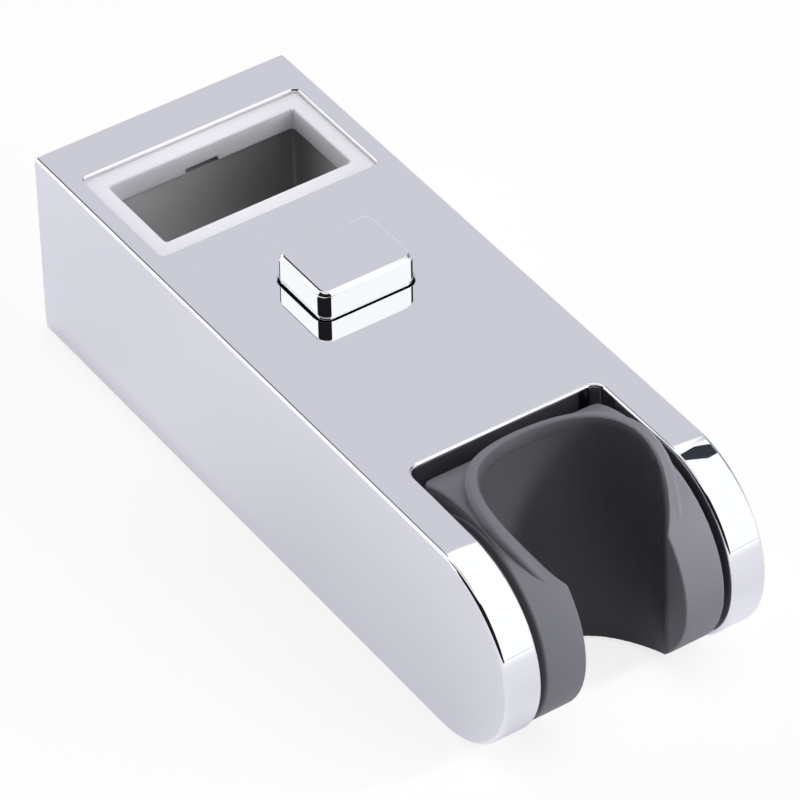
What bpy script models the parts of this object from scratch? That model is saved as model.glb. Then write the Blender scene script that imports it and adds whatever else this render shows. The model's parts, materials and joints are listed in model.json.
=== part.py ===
# Shower rail slider. A chrome block grips a flat rail with a sprung brake pad, which a push button frees,
# and its fork carries a cradle that tilts the hand shower.
# Metres. +Z runs up the rail and -Y points at the cradle. The origin is on the rail's axis at the underside.

import math

import bmesh
import bpy
from mathutils import Vector

# Fits
SEAT_GAP = 0.0003
RUN_GAP = 0.0003
SMALL_CORNER = 0.0006

# How far a cutting shape runs past what it cuts, and how closely points are told apart
OVERCUT = 0.0020
LEVEL_SLACK = 0.00001
ARC_SLACK = 0.0001

# Rail passage and its two plastic guides
RAIL_WIDTH = 0.0300
RAIL_DEPTH = 0.0150
RAIL_PLAY_SIDE = 0.0012
RAIL_PLAY_FACE = 0.00035
FLANGE_SIDE = 0.0024
FLANGE_FACE = 0.0029
FLANGE_THICKNESS = 0.0015
FLANGE_DROP = 0.0006
FLANGE_CORNER = 0.0006
SKIRT_DEPTH = 0.0037
SKIRT_WALL = 0.0011
SKIRT_LEAD_IN = 0.0003
NOTCH_WIDTH = 0.0058
NOTCH_HEIGHT = 0.0008
LEDGE_THICKNESS = 0.0016
LEDGE_WALL = 0.0020

# Body block
BODY_HEIGHT = 0.0325
BACK_REACH = 0.0195
PIVOT_REACH = 0.0862
WALL = 0.0024
EAR_THICKNESS = 0.0059
EDGE_ROUND = 0.0006
FORK_EDGE_ROUND = 0.0005
HOLE_EDGE_ROUND = 0.0004
FORK_CORNER = 0.0018
RIB_THICKNESS = 0.0012
RIB_DEPTH = 0.0100
RIB_COUNT = 2

# Cradle
DRUM_INSET = 0.0004
DRUM_EDGE_ROUND = 0.0004
DRUM_BACK_GAP = 0.00035
BORE_RADIUS = 0.0110
BORE_TAPER = 0.084
BORE_TILT = math.radians(9.9)
BORE_OFFSET = 0.0039
CROWN_RISE = 0.00315
CROWN_SHIFT = 0.0046
COLLAR_WALL = 0.0024
COLLAR_INSET = 0.0002
RIM_ROUND = 0.0009
RIM_INNER_SWEEP = math.radians(78.0)
CHEEK_GAP = 0.0010
TILT_BACK = math.radians(5.0)
SLOT_WIDTH = 0.0168
SLOT_EDGE_ROUND = 0.00035
SLOT_HALF_ANGLE = math.radians(60.0)

# Saddle, the cradle's shoulder between the collar and the body
SADDLE_SHIFT = 0.0038
SADDLE_DROP = 0.00475
SADDLE_SINK = 0.00005
SADDLE_CORNER = 0.0016
SADDLE_EDGE_ROUND = 0.0005

# Pivot
TRUNNION_RADIUS = 0.0035
BUSH_WALL = 0.0011
BUSH_FLOOR = 0.0008
EAR_SKIN = 0.0022
WASHER_RING = 0.0032
WASHER_THICKNESS = 0.0002
WASHER_WAVE = 0.00020
WASHER_WAVES = 3

# Release button
BUTTON_REACH = 0.0308
BUTTON_WIDTH = 0.0164
BUTTON_DEPTH = 0.0126
BUTTON_RISE = 0.0047
BUTTON_CORNER = 0.0018
BUTTON_INNER_CORNER = 0.0005
BUTTON_TOP_ROUND = 0.0009
BUTTON_WALL = 0.0014
BUTTON_GAP = 0.00025
BUTTON_TRAVEL = 0.0030
BUTTON_COLLAR_WALL = 0.0014
BUTTON_COLLAR_DEPTH = 0.0022
BUTTON_BOSS_RADIUS = 0.0022

# Plunger under the button
PLATE_OVERHANG = 0.0010
PLATE_THICKNESS = 0.0016
STEM_WIDTH = 0.0128
STEM_WALL = 0.0018
STEM_FOOT_GAP = 0.0006

# Brake
BRAKE_TRAVEL = 0.0012
BRAKE_BITE = 0.0006
PAD_WIDTH = 0.0142
PAD_HEIGHT = 0.0092
PAD_THICKNESS = 0.0022
PAD_SOCKET_DEPTH = 0.0010
PAD_SOCKET_WALL = 0.0010
SHOULDER_DEPTH = 0.0040
SHOULDER_RISE = 0.0010
ARM_WIDTH = 0.0042
ARM_HEIGHT = 0.0080
ARM_TAIL = 0.0062
CAM_PIN_RADIUS = 0.0011
CAM_SLOT_GAP = 0.00015
SPRING_POCKET_DEPTH = 0.0030
BRAKE_SPRING_RADIUS = 0.0014
BRAKE_SPRING_WIRE = 0.00045
BRAKE_SPRING_TURNS = 6
BRAKE_SPRING_SPACE = 0.0070

# Button spring
BUTTON_SPRING_WIRE = 0.0005
BUTTON_SPRING_TURNS = 7
SPRING_PEG_HEIGHT = 0.0020

# Inner frame
FRAME_STEP = 0.0003
FRAME_WALL = 0.0020
FRAME_FLOOR = 0.0018
FRAME_HEADROOM = 0.0012
WINDOW_RIM = 0.0004
LUG_REACH = 0.0190
LUG_THICKNESS = 0.0020
LUG_CORNER = 0.0015

# Bottom cover and fasteners
COVER_THICKNESS = 0.0026
COVER_LIP = 0.0012
COVER_LEDGE_WALL = 0.0004
COVER_RIB_HEIGHT = 0.0012
BOSS_RADIUS = 0.0025
BOSS_MERGE = 0.0003
SCREW_RADIUS = 0.0010
SCREW_HEAD_RADIUS = 0.0020
SCREW_HEAD_HEIGHT = 0.0012
SCREW_HEAD_ROUND = 0.0004
SCREW_TIP_RADIUS = 0.0004
SCREW_BITE = 0.0060
SCREW_RECESS = 0.0002
CROSS_WIDTH = 0.0005
CROSS_LENGTH = 0.0024
CROSS_DEPTH = 0.0006

# Roundness of curved faces
ARC_STEPS = 36
DRUM_STEPS = 60
BORE_STEPS = 50
SMALL_STEPS = 18
SCREW_STEPS = 12
COIL_STEPS = 8
CORNER_STEPS = 4
SMOOTH_ANGLE = math.radians(32.0)
SHARP_ANGLE = math.radians(40.0)

# Sizes that follow from the ones above
PASSAGE_X = RAIL_WIDTH / 2 + RAIL_PLAY_SIDE
PASSAGE_Y = RAIL_DEPTH / 2 + RAIL_PLAY_FACE
FLANGE_X = PASSAGE_X + FLANGE_SIDE
FLANGE_Y = PASSAGE_Y + FLANGE_FACE
POCKET_X = FLANGE_X + SEAT_GAP
POCKET_Y = FLANGE_Y + SEAT_GAP
POCKET_DEPTH = FLANGE_DROP + FLANGE_THICKNESS + SEAT_GAP
SKIRT_X = PASSAGE_X + SKIRT_WALL
SKIRT_Y = PASSAGE_Y + SKIRT_WALL
SKIRT_END = FLANGE_DROP + SKIRT_DEPTH

MID_HEIGHT = BODY_HEIGHT / 2
DRUM_RADIUS = MID_HEIGHT - DRUM_INSET
CROWN_RADIUS = DRUM_RADIUS + CROWN_RISE
MOUTH_RADIUS = BORE_RADIUS + BORE_TAPER * CROWN_RADIUS
CHEEK_X = MOUTH_RADIUS + COLLAR_WALL + COLLAR_INSET
FORK_X = CHEEK_X + CHEEK_GAP
BODY_X = max(FORK_X + EAR_THICKNESS, POCKET_X + WALL)
INNER_X = BODY_X - WALL
INNER_BACK = BACK_REACH - WALL
FORK_REACH = PIVOT_REACH - DRUM_RADIUS - DRUM_BACK_GAP
INNER_FRONT = FORK_REACH - WALL
TOP_INSIDE = BODY_HEIGHT - WALL
SADDLE_X = CHEEK_X - COLLAR_INSET
SADDLE_RADIUS = DRUM_RADIUS + math.hypot(SADDLE_SHIFT, SADDLE_DROP) - SADDLE_SINK
BACK_SPACE = DRUM_RADIUS + DRUM_BACK_GAP - RUN_GAP
SADDLE_REACH = (BACK_SPACE - DRUM_RADIUS * math.sin(TILT_BACK)) / math.cos(TILT_BACK)

SOCKET_FLOOR_X = BODY_X - EAR_SKIN
BUSH_BORE_RADIUS = TRUNNION_RADIUS + RUN_GAP
BUSH_RADIUS = BUSH_BORE_RADIUS + BUSH_WALL
SOCKET_RADIUS = BUSH_RADIUS + SEAT_GAP
BUSH_END_X = SOCKET_FLOOR_X - SEAT_GAP
TRUNNION_END_X = BUSH_END_X - BUSH_FLOOR - RUN_GAP

BUTTON_X = BUTTON_WIDTH / 2
BUTTON_Y = BUTTON_DEPTH / 2
COLLAR_END = TOP_INSIDE - BUTTON_COLLAR_DEPTH
PLATE_TOP = COLLAR_END - SEAT_GAP
PLATE_UNDER = PLATE_TOP - PLATE_THICKNESS
CAP_FOOT = PLATE_TOP + SEAT_GAP
CAP_TOP = BODY_HEIGHT + BUTTON_RISE
BUTTON_SPRING_RADIUS = SCREW_HEAD_RADIUS + SEAT_GAP + BUTTON_SPRING_WIRE / 2
STEM_DEPTH = 2 * (BUTTON_SPRING_RADIUS + BUTTON_SPRING_WIRE / 2 + RUN_GAP + STEM_WALL)

FRAME_LOW = SKIRT_END + SEAT_GAP
FRAME_HIGH = BODY_HEIGHT - SKIRT_END - SEAT_GAP
FLOOR_TOP = FRAME_LOW + FRAME_FLOOR
FRAME_PASSAGE_X = PASSAGE_X + FRAME_STEP
FRAME_PASSAGE_Y = PASSAGE_Y + FRAME_STEP
FRAME_TUBE_X = INNER_X - SEAT_GAP
FRAME_TUBE_Y = FRAME_PASSAGE_Y + FRAME_WALL
STEM_FOOT = FLOOR_TOP + BUTTON_TRAVEL + STEM_FOOT_GAP

NOSE_X = PAD_WIDTH / 2 + SEAT_GAP + PAD_SOCKET_WALL
NOSE_Z = PAD_HEIGHT / 2 + SEAT_GAP + PAD_SOCKET_WALL
PAD_FACE = RAIL_DEPTH / 2 - BRAKE_BITE
PAD_BACK = PAD_FACE + PAD_THICKNESS
NOSE_FLOOR = PAD_BACK + SEAT_GAP
NOSE_FACE = NOSE_FLOOR - PAD_SOCKET_DEPTH
CHANNEL_BACK = FRAME_TUBE_Y + WINDOW_RIM
SHOULDER_FACE = CHANNEL_BACK + SEAT_GAP
SHOULDER_BACK = SHOULDER_FACE + SHOULDER_DEPTH
SHOULDER_Z = NOSE_Z + SHOULDER_RISE
ARM_INNER_X = STEM_WIDTH / 2 + RUN_GAP + SEAT_GAP
ARM_OUTER_X = ARM_INNER_X + ARM_WIDTH
ARM_END = BUTTON_REACH + ARM_TAIL
ARM_MID_X = (ARM_INNER_X + ARM_OUTER_X) / 2
CHANNEL_X = ARM_OUTER_X + RUN_GAP
CHANNEL_WALL_X = CHANNEL_X + FRAME_WALL
CHANNEL_END = ARM_END + BRAKE_SPRING_SPACE
FRAME_END = CHANNEL_END + FRAME_WALL
CHANNEL_TOP = MID_HEIGHT + SHOULDER_Z + FRAME_HEADROOM
SPRING_POCKET_RADIUS = BRAKE_SPRING_RADIUS + BRAKE_SPRING_WIRE / 2 + SEAT_GAP

LUG_X = INNER_X - SEAT_GAP - BOSS_RADIUS
LUG_TOP = CHANNEL_TOP
LUG_UNDER = LUG_TOP - LUG_THICKNESS
SCREW_HOLE_RADIUS = SCREW_RADIUS + SEAT_GAP
HEAD_HOLE_RADIUS = SCREW_HEAD_RADIUS + SEAT_GAP
HEAD_SEAT = SCREW_RECESS + SCREW_HEAD_HEIGHT + SEAT_GAP
REBATE_DEPTH = COVER_THICKNESS + SEAT_GAP
COVER_X = BODY_X - COVER_LIP - SEAT_GAP
COVER_BACK = BACK_REACH - COVER_LIP - SEAT_GAP
COVER_FRONT = FORK_REACH - COVER_LIP - SEAT_GAP
COVER_BOSS_X = INNER_X - BOSS_RADIUS + BOSS_MERGE
COVER_BOSS_BACK = INNER_BACK - BOSS_RADIUS + BOSS_MERGE
COVER_BOSS_FRONT = INNER_FRONT - BOSS_RADIUS + BOSS_MERGE


def clear_scene():
    for item in list(bpy.data.objects):
        bpy.data.objects.remove(item, do_unlink=True)


def surface(name, colour, roughness, metallic=0.0):
    material = bpy.data.materials.new(name)
    material.use_nodes = True
    shader = material.node_tree.nodes["Principled BSDF"]
    shader.inputs["Base Color"].default_value = (*colour, 1.0)
    shader.inputs["Roughness"].default_value = roughness
    shader.inputs["Metallic"].default_value = metallic
    return material


# Outlines

def arc(centre, radius, start, end, steps):
    turns = [start + (end - start) * i / steps for i in range(steps + 1)]
    return [(centre[0] + radius * math.cos(t), centre[1] + radius * math.sin(t)) for t in turns]


def circle(centre, radius, steps=SMALL_STEPS):
    return arc(centre, radius, 0.0, 2 * math.pi, steps)[:-1]


def rectangle(left, right, low, high):
    return [(left, low), (right, low), (right, high), (left, high)]


def rounded(corners, radius, steps=CORNER_STEPS):
    """The outline through these corners with each one rounded off."""
    points = []
    for i, corner in enumerate(corners):
        here = Vector(corner)
        back = (Vector(corners[i - 1]) - here).normalized()
        ahead = (Vector(corners[(i + 1) % len(corners)]) - here).normalized()
        half = back.angle(ahead) / 2
        reach = radius / math.tan(half)
        centre = here + (back + ahead).normalized() * (radius / math.sin(half))
        first = here + back * reach - centre
        last = here + ahead * reach - centre
        sweep = first.angle_signed(last)
        for step in range(steps + 1):
            turn = -sweep * step / steps
            x = first.x * math.cos(turn) - first.y * math.sin(turn)
            y = first.x * math.sin(turn) + first.y * math.cos(turn)
            points.append((centre.x + x, centre.y + y))
    return points


def slot_outline(start, end, radius):
    """A slot with round ends between two points."""
    lean = math.atan2(end[1] - start[1], end[0] - start[0])
    quarter = math.pi / 2
    far = arc(end, radius, lean - quarter, lean + quarter, SMALL_STEPS // 2)
    near = arc(start, radius, lean + quarter, lean + 3 * quarter, SMALL_STEPS // 2)
    return far + near


# Solids

def new_object(name, mesh_builder):
    mesh = bpy.data.meshes.new(name)
    bmesh.ops.recalc_face_normals(mesh_builder, faces=mesh_builder.faces)
    mesh_builder.to_mesh(mesh)
    mesh_builder.free()
    item = bpy.data.objects.new(name, mesh)
    bpy.context.scene.collection.objects.link(item)
    return item


def loft(rings, name="tool"):
    """A solid skinned over rings of equally many points, closed at both ends."""
    builder = bmesh.new()
    rows = [[builder.verts.new(point) for point in ring] for ring in rings]
    for lower, upper in zip(rows, rows[1:]):
        for i in range(len(lower)):
            j = (i + 1) % len(lower)
            builder.faces.new((lower[i], lower[j], upper[j], upper[i]))
    builder.faces.new(rows[0])
    builder.faces.new(rows[-1])
    return new_object(name, builder)


def placed(point, level, axis):
    """The outline's two coordinates and the level along the axis, as a point in space."""
    across, up = point
    spots = {"X": (level, across, up), "Y": (across, level, up), "Z": (across, up, level)}
    return spots[axis]


def prism(outline, low, high, axis="Z"):
    rings = [[placed(point, level, axis) for point in outline] for level in (low, high)]
    return loft(rings)


def block(left, right, front, back, low, high):
    return prism(rectangle(left, right, front, back), low, high)


def turned(profile, centre, axis="Z", steps=SMALL_STEPS, start=0.0, sweep=2 * math.pi):
    """A profile of (along the axis, radius) points spun about the axis through the centre."""
    builder = bmesh.new()
    whole = sweep > 2 * math.pi - 0.001
    count = steps if whole else steps + 1
    hubs = {}
    rows = []
    for i in range(count):
        turn = start + sweep * i / steps
        ring = []
        for along, radius in profile:
            spot = placed((radius * math.cos(turn), radius * math.sin(turn)), along, axis)
            if radius > 0.0:
                ring.append(builder.verts.new(Vector(spot) + Vector(centre)))
                continue
            if along not in hubs:
                hubs[along] = builder.verts.new(Vector(spot) + Vector(centre))
            ring.append(hubs[along])
        rows.append(ring)
    pairs = list(zip(rows, rows[1:]))
    if whole:
        pairs.append((rows[-1], rows[0]))
    for near, far in pairs:
        for i in range(len(profile)):
            j = (i + 1) % len(profile)
            corners = list(dict.fromkeys((near[i], near[j], far[j], far[i])))
            if len(corners) > 2:
                builder.faces.new(corners)
    if not whole:
        builder.faces.new(rows[0])
        builder.faces.new(rows[-1])
    return new_object("tool", builder)


def rod(radius, low, high, centre, axis="Z", steps=SMALL_STEPS):
    spots = {"X": (1, 2), "Y": (0, 2), "Z": (0, 1)}
    across, up = spots[axis]
    return prism(circle((centre[across], centre[up]), radius, steps), low, high, axis)


def coil(radius, wire, turns, length):
    """A helical spring along +Z as a curve with round wire."""
    curve = bpy.data.curves.new("coil", "CURVE")
    curve.dimensions = "3D"
    curve.bevel_depth = wire / 2
    curve.bevel_resolution = 1
    curve.use_fill_caps = True
    spline = curve.splines.new("POLY")
    count = turns * COIL_STEPS
    spline.points.add(count)
    for i, point in enumerate(spline.points):
        turn = 2 * math.pi * i / COIL_STEPS
        rise = wire / 2 + (length - wire) * i / count
        point.co = (radius * math.cos(turn), radius * math.sin(turn), rise, 1.0)
    return curve


# Putting shapes together

def bake(item):
    """Keeps the modifiers' result as the object's own mesh."""
    graph = bpy.context.evaluated_depsgraph_get()
    mesh = bpy.data.meshes.new_from_object(item.evaluated_get(graph))
    item.modifiers.clear()
    item.data = mesh


def combine(item, tools, operation):
    for tool in tools:
        step = item.modifiers.new(operation.title(), "BOOLEAN")
        step.operation = operation
        step.solver = "EXACT"
        step.object = tool
    bake(item)
    for tool in tools:
        bpy.data.objects.remove(tool, do_unlink=True)


def cut(item, *tools):
    combine(item, tools, "DIFFERENCE")


def add(item, *tools):
    combine(item, tools, "UNION")


def round_edges(item, width, steps=2, test=None):
    """Rounds the sharp edges whose two ends both pass the test."""
    builder = bmesh.new()
    builder.from_mesh(item.data)
    chosen = []
    for edge in builder.edges:
        if not edge.is_manifold or edge.calc_face_angle(0.0) < SHARP_ANGLE:
            continue
        if test is None or all(test(vert.co) for vert in edge.verts):
            chosen.append(edge)
    bmesh.ops.bevel(
        builder, geom=chosen, offset=width, segments=steps, affect="EDGES", profile=0.5, clamp_overlap=True
    )
    builder.to_mesh(item.data)
    builder.free()


def finished(item, name, material, parent=None):
    item.name = name
    item.data.name = name
    item.data.materials.clear()
    item.data.materials.append(material)
    if item.type == "MESH":
        item.data.shade_smooth()
        item.data.set_sharp_from_angle(angle=SMOOTH_ANGLE)
    if parent is not None:
        ride(item, parent)
    return item


def ride(item, parent):
    """Parents the piece and moves its mesh so that its origin is the parent's own."""
    item.parent = parent
    if item.type == "MESH":
        item.data.transform(parent.matrix_world.inverted())


def joint_axis(name, position):
    empty = bpy.data.objects.new(name, None)
    empty.location = position
    empty.empty_display_size = SOCKET_RADIUS
    bpy.context.scene.collection.objects.link(empty)
    bpy.context.view_layer.update()
    return empty


# Body shell

def at_level(value, level):
    return abs(value - level) < LEVEL_SLACK


def body_block():
    centre = (-PIVOT_REACH, MID_HEIGHT)
    outline = [(BACK_REACH, 0.0), (BACK_REACH, BODY_HEIGHT)]
    outline += arc(centre, MID_HEIGHT, math.pi / 2, 3 * math.pi / 2, ARC_STEPS)
    shell = prism(outline, -BODY_X, BODY_X, "X")
    round_edges(shell, EDGE_ROUND, 3)
    return shell


def fork_tool():
    far = -PIVOT_REACH - BODY_HEIGHT
    corner = FORK_CORNER
    back = -FORK_REACH
    outline = [(-FORK_X, far), (FORK_X, far)]
    outline += arc((FORK_X - corner, back - corner), corner, 0.0, math.pi / 2, CORNER_STEPS)
    outline += arc((-FORK_X + corner, back - corner), corner, math.pi / 2, math.pi, CORNER_STEPS)
    return prism(outline, -OVERCUT, BODY_HEIGHT + OVERCUT)


def on_fork_edge(point):
    """Tells the points where the fork's faces meet the block's outside."""
    if point.y > -FORK_REACH + LEVEL_SLACK or abs(point.x) > FORK_X + LEVEL_SLACK:
        return False
    if point.y > -PIVOT_REACH:
        return at_level(point.z, 0.0) or at_level(point.z, BODY_HEIGHT)
    return math.hypot(point.y + PIVOT_REACH, point.z - MID_HEIGHT) > MID_HEIGHT - ARC_SLACK


def flare(face, side):
    """Levels and growths of a hole's rim that round off the edge where it opens into the face."""
    steps = []
    for turn in (0.0, math.pi / 6, math.pi / 3):
        drop = HOLE_EDGE_ROUND * (1 - math.sin(turn))
        steps.append((face - side * drop, HOLE_EDGE_ROUND * (1 - math.cos(turn))))
    level, grow = steps[-1]
    steps.append((level + side * OVERCUT, grow + OVERCUT * math.tan(math.pi / 3)))
    return steps


def guide_pocket(top):
    """The stepped hole that takes a rail guide, opening up or down."""
    side = 1.0 if top else -1.0
    face = BODY_HEIGHT if top else 0.0
    rings = []
    for level, grow in [(face - side * POCKET_DEPTH, 0.0), *flare(face, side)]:
        x = POCKET_X + grow
        y = POCKET_Y + grow
        seat = rounded(rectangle(-x, x, -y, y), FLANGE_CORNER + SEAT_GAP + grow)
        rings.append([(a, b, level) for a, b in seat])
    skirt_x = SKIRT_X + SEAT_GAP
    skirt_y = SKIRT_Y + SEAT_GAP
    well = rounded(rectangle(-skirt_x, skirt_x, -skirt_y, skirt_y), FLANGE_CORNER)
    deep = sorted((face, face - side * (SKIRT_END + LEDGE_THICKNESS + OVERCUT)))
    return [loft(rings), prism(well, *deep)]


def button_outline(grow, radius):
    edges = (BUTTON_X + grow, BUTTON_Y + grow)
    centre = -BUTTON_REACH
    return rounded(rectangle(-edges[0], edges[0], centre - edges[1], centre + edges[1]), radius)


def button_hole():
    rings = []
    for level, grow in [(COLLAR_END - OVERCUT, 0.0), *flare(BODY_HEIGHT, 1.0)]:
        outline = button_outline(BUTTON_GAP + grow, BUTTON_CORNER + BUTTON_GAP + grow)
        rings.append([(x, y, level) for x, y in outline])
    return loft(rings)


def cover_boss_places():
    for side in (-1, 1):
        yield side * COVER_BOSS_X, COVER_BOSS_BACK
        yield side * COVER_BOSS_X, -COVER_BOSS_FRONT


def rib_places():
    free = INNER_FRONT - FRAME_END
    return [FRAME_END + free * (i + 1) / (RIB_COUNT + 1) for i in range(RIB_COUNT)]


def build_body_shell(material):
    shell = body_block()
    cut(shell, fork_tool())
    round_edges(shell, FORK_EDGE_ROUND, 2, on_fork_edge)
    cavity = block(-INNER_X, INNER_X, -INNER_FRONT, INNER_BACK, -OVERCUT, TOP_INSIDE)
    rim_x = BODY_X - COVER_LIP
    rim_back = BACK_REACH - COVER_LIP
    rim_front = FORK_REACH - COVER_LIP
    rebate = block(-rim_x, rim_x, -rim_front, rim_back, -OVERCUT, REBATE_DEPTH)
    cut(shell, cavity, rebate)
    into_top = TOP_INSIDE + WALL / 2
    ledge_x = min(POCKET_X + LEDGE_WALL, BODY_X - EDGE_ROUND * 2)
    ledge_y = POCKET_Y + LEDGE_WALL
    ledge_low = BODY_HEIGHT - POCKET_DEPTH - LEDGE_THICKNESS
    parts = [block(-ledge_x, ledge_x, -ledge_y, ledge_y, ledge_low, into_top)]
    collar = button_outline(BUTTON_GAP + BUTTON_COLLAR_WALL, BUTTON_CORNER + BUTTON_COLLAR_WALL)
    parts.append(prism(collar, COLLAR_END, into_top))
    for x, y in cover_boss_places():
        parts.append(rod(BOSS_RADIUS, REBATE_DEPTH + SEAT_GAP, into_top, (x, y, 0)))
    for side in (-1, 1):
        parts.append(rod(BOSS_RADIUS, LUG_TOP + SEAT_GAP, into_top, (side * LUG_X, -LUG_REACH, 0)))
    half = RIB_THICKNESS / 2
    into_side = INNER_X + WALL / 2
    for reach in rib_places():
        parts.append(block(-into_side, into_side, -reach - half, -reach + half, TOP_INSIDE - RIB_DEPTH, into_top))
    add(shell, *parts)
    tools = guide_pocket(True)
    tools.append(button_hole())
    for x, y in cover_boss_places():
        tools.append(rod(SCREW_HOLE_RADIUS, 0.0, HEAD_SEAT + SCREW_BITE + OVERCUT, (x, y, 0)))
    for side in (-1, 1):
        tools.append(rod(SCREW_HOLE_RADIUS, LUG_UNDER, LUG_TOP + SCREW_BITE - OVERCUT, (side * LUG_X, -LUG_REACH, 0)))
        low, high = sorted((side * (FORK_X - OVERCUT), side * SOCKET_FLOOR_X))
        tools.append(rod(SOCKET_RADIUS, low, high, (0, -PIVOT_REACH, MID_HEIGHT), "X", 2 * SMALL_STEPS))
    cut(shell, *tools)
    return finished(shell, "body_shell", material)


# Rail guides

def build_rail_guide(name, top, material):
    side = 1.0 if top else -1.0
    face = BODY_HEIGHT - FLANGE_DROP if top else FLANGE_DROP
    flange = rounded(rectangle(-FLANGE_X, FLANGE_X, -FLANGE_Y, FLANGE_Y), FLANGE_CORNER)
    guide = prism(flange, *sorted((face, face - side * FLANGE_THICKNESS)))
    skirt = rounded(rectangle(-SKIRT_X, SKIRT_X, -SKIRT_Y, SKIRT_Y), FLANGE_CORNER)
    middle = face - side * FLANGE_THICKNESS / 2
    end = face - side * SKIRT_DEPTH
    add(guide, prism(skirt, *sorted((middle, end))))
    rings = []
    for level, grow in (
        (face + side * OVERCUT, SKIRT_LEAD_IN + OVERCUT),
        (face - side * SKIRT_LEAD_IN, 0.0),
        (end - side * OVERCUT, 0.0),
    ):
        x = PASSAGE_X + grow
        y = PASSAGE_Y + grow
        opening = rounded(rectangle(-x, x, -y, y), FLANGE_CORNER)
        rings.append([(a, b, level) for a, b in opening])
    half = NOTCH_WIDTH / 2
    low, high = sorted((end - side * OVERCUT, end + side * NOTCH_HEIGHT))
    notch = block(-half, half, 0.0, SKIRT_Y + OVERCUT, low, high)
    cut(guide, loft(rings), notch)
    return finished(guide, name, material)


# Inner frame

def build_inner_frame(material):
    tube = rectangle(-FRAME_TUBE_X, FRAME_TUBE_X, -FRAME_TUBE_Y, FRAME_TUBE_Y)
    frame = prism(rounded(tube, SMALL_CORNER), FRAME_LOW, FRAME_HIGH)
    outside = block(-CHANNEL_WALL_X, CHANNEL_WALL_X, -FRAME_END, 0.0, FRAME_LOW, CHANNEL_TOP)
    lug_edge = LUG_X + BOSS_RADIUS
    lug_front = -LUG_REACH - BOSS_RADIUS
    lug_back = -LUG_REACH + BOSS_RADIUS
    lug = rounded(rectangle(-lug_edge, lug_edge, lug_front, lug_back), LUG_CORNER)
    add(frame, outside, prism(lug, LUG_UNDER, LUG_TOP))
    passage = rectangle(-FRAME_PASSAGE_X, FRAME_PASSAGE_X, -FRAME_PASSAGE_Y, FRAME_PASSAGE_Y)
    through = prism(rounded(passage, FLANGE_CORNER), FRAME_LOW - OVERCUT, FRAME_HIGH + OVERCUT)
    channel = block(-CHANNEL_X, CHANNEL_X, -CHANNEL_END, -CHANNEL_BACK, FLOOR_TOP, BODY_HEIGHT)
    window_x = NOSE_X + RUN_GAP
    window_z = NOSE_Z + RUN_GAP
    window = block(-window_x, window_x, -CHANNEL_BACK - OVERCUT, 0.0, MID_HEIGHT - window_z, MID_HEIGHT + window_z)
    tools = [through, channel, window]
    for side in (-1, 1):
        tools.append(rod(SCREW_HOLE_RADIUS, LUG_UNDER - OVERCUT, LUG_TOP + OVERCUT, (side * LUG_X, -LUG_REACH, 0)))
    cut(frame, *tools)
    peg = BUTTON_SPRING_RADIUS - BUTTON_SPRING_WIRE / 2 - SEAT_GAP
    pegs = [rod(peg, FRAME_LOW + FRAME_FLOOR / 2, FLOOR_TOP + SPRING_PEG_HEIGHT, (0, -BUTTON_REACH, 0))]
    tip = BRAKE_SPRING_RADIUS - BRAKE_SPRING_WIRE / 2 - SEAT_GAP
    for side in (-1, 1):
        place = (side * ARM_MID_X, 0, MID_HEIGHT)
        pegs.append(rod(tip, -CHANNEL_END - FRAME_WALL / 2, -CHANNEL_END + SPRING_PEG_HEIGHT, place, "Y"))
    add(frame, *pegs)
    return finished(frame, "inner_frame", material)


# Bottom cover

def build_bottom_cover(material):
    plate = rectangle(-COVER_X, COVER_X, -COVER_FRONT, COVER_BACK)
    cover = prism(rounded(plate, EDGE_ROUND), 0.0, COVER_THICKNESS)
    ledge_x = POCKET_X + COVER_LEDGE_WALL
    ledge_y = POCKET_Y + COVER_LEDGE_WALL
    ledge_top = POCKET_DEPTH + LEDGE_THICKNESS
    inside = COVER_THICKNESS / 2
    ledge = block(-ledge_x, ledge_x, -ledge_y, ledge_y, inside, ledge_top)
    rib = block(
        -RIB_THICKNESS / 2, RIB_THICKNESS / 2, -INNER_FRONT + BOSS_RADIUS, -FRAME_END, inside,
        COVER_THICKNESS + COVER_RIB_HEIGHT,
    )
    add(cover, ledge, rib)
    tools = guide_pocket(False)
    for x, y in cover_boss_places():
        tools.append(rod(HEAD_HOLE_RADIUS, -OVERCUT, HEAD_SEAT, (x, y, 0)))
        tools.append(rod(SCREW_HOLE_RADIUS, HEAD_SEAT / 2, COVER_THICKNESS + OVERCUT, (x, y, 0)))
    cut(cover, *tools)
    return finished(cover, "bottom_cover", material)


# Screws

def build_screw(name, place, head_low, material, parent=None):
    """A pan-head screw driven upwards, with a cross recess in its head."""
    head_high = head_low + SCREW_HEAD_HEIGHT
    tip = head_high + SCREW_BITE
    profile = [
        (head_low, 0.0),
        (head_low, SCREW_HEAD_RADIUS - SCREW_HEAD_ROUND),
        (head_low + SCREW_HEAD_ROUND, SCREW_HEAD_RADIUS),
        (head_high, SCREW_HEAD_RADIUS),
        (head_high, SCREW_RADIUS),
        (tip - SCREW_RADIUS, SCREW_RADIUS),
        (tip, SCREW_TIP_RADIUS),
        (tip, 0.0),
    ]
    x, y = place
    screw = turned(profile, (x, y, 0), steps=SCREW_STEPS)
    wide = CROSS_WIDTH / 2
    long = CROSS_LENGTH / 2
    cross = [
        (-wide, -long), (wide, -long), (wide, -wide), (long, -wide), (long, wide), (wide, wide),
        (wide, long), (-wide, long), (-wide, wide), (-long, wide), (-long, -wide), (-wide, -wide),
    ]
    cut(screw, prism([(x + a, y + b) for a, b in cross], head_low - OVERCUT, head_low + CROSS_DEPTH))
    return finished(screw, name, material, parent)


# Release button

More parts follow.
